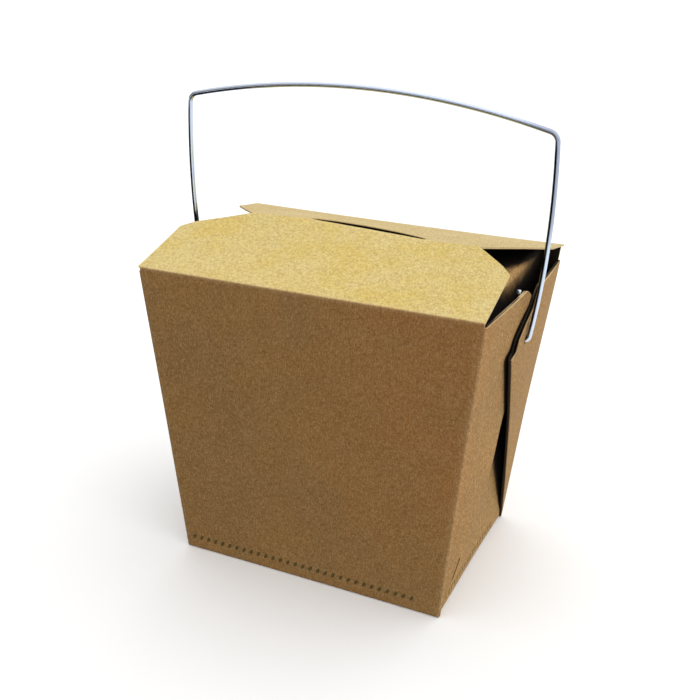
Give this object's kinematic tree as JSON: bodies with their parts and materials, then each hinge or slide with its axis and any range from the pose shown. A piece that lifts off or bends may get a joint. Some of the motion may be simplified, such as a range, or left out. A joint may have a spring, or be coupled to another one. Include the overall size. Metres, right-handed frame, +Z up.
{
  "type": "noodle takeaway box",
  "caption": "Shut folded kraft board takeaway box, wider at the top, with crossing side webs, a tucked lid and a swinging wire carrying handle.",
  "frame": {"origin": "middle of the base, on the surface that the box stands on", "axes": "+Z up, -Y towards the front panel whose flap lies on top of the lid, +X to the right as seen from the front"},
  "size_m": [0.1214, 0.0758, 0.1526],
  "materials": {
    "kraft_board": "uncoated natural kraft board",
    "steel_wire": "bright drawn wire"
  },
  "bodies": {
    "carton": {"carton": "kraft_board"},
    "handle": {"wire_handle": "steel_wire"}
  },
  "joints": [
    {"name": "handle_swing", "type": "hinge", "parent": "carton", "child": "handle", "pos_m": [0, 0, 0.082], "axis": [1, 0, 0], "range_deg": [-90, 90]}
  ]
}
